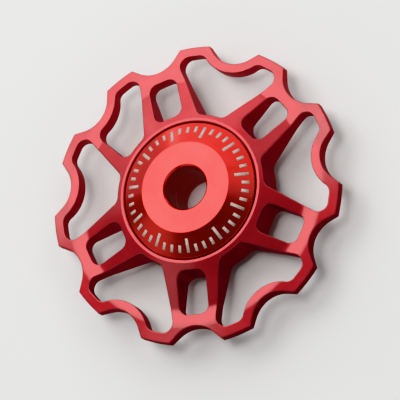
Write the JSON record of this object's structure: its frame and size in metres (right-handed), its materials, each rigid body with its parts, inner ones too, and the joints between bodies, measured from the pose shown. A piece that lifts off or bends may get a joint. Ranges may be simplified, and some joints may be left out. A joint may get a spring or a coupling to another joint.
{
  "type": "derailleur jockey wheel",
  "caption": "Red anodised aluminium derailleur jockey wheel: short flat-topped teeth, open spoked web, sealed ball bearing in the hub and conical end caps around a plain axle bore.",
  "frame": {"origin": "middle of the axle bore, on the mid-plane of the teeth", "axes": "+Z along the axle bore, out of the front cap; +X through the valley that has the single spoke beside it; the wheel lies on its rear cap's boss"},
  "size_m": [0.0415, 0.0418, 0.0082],
  "materials": {
    "wheel_red": "red anodised, fine milled and turned",
    "cap_red": "red anodised, fine turned",
    "bearing_steel": "ground bearing steel",
    "ball_steel": "polished bearing steel",
    "cage_plastic": "moulded nylon",
    "seal_rubber": "moulded rubber"
  },
  "bodies": {
    "hub": {"front_cap": "cap_red", "rear_cap": "cap_red", "bearing_inner_ring": "bearing_steel"},
    "wheel": {"toothed_wheel": "wheel_red", "bearing_outer_ring": "bearing_steel", "bearing_front_seal": "seal_rubber", "bearing_rear_seal": "seal_rubber"},
    "ball_set": {"bearing_cage": "cage_plastic", "bearing_ball_01": "ball_steel", "bearing_ball_02": "ball_steel", "bearing_ball_03": "ball_steel", "bearing_ball_04": "ball_steel", "bearing_ball_05": "ball_steel", "bearing_ball_06": "ball_steel", "bearing_ball_07": "ball_steel"}
  },
  "joints": [
    {"name": "wheel_spin", "type": "hinge", "parent": "hub", "child": "wheel", "pos_m": [0, 0, 0], "axis": [0, 0, 1], "continuous": true},
    {"name": "ball_set_spin", "type": "hinge", "parent": "hub", "child": "ball_set", "pos_m": [0, 0, 0], "axis": [0, 0, 1], "continuous": true}
  ],
  "couplings": [
    {"joint": "ball_set_spin", "follows": "wheel_spin", "ratio": 0.59}
  ]
}
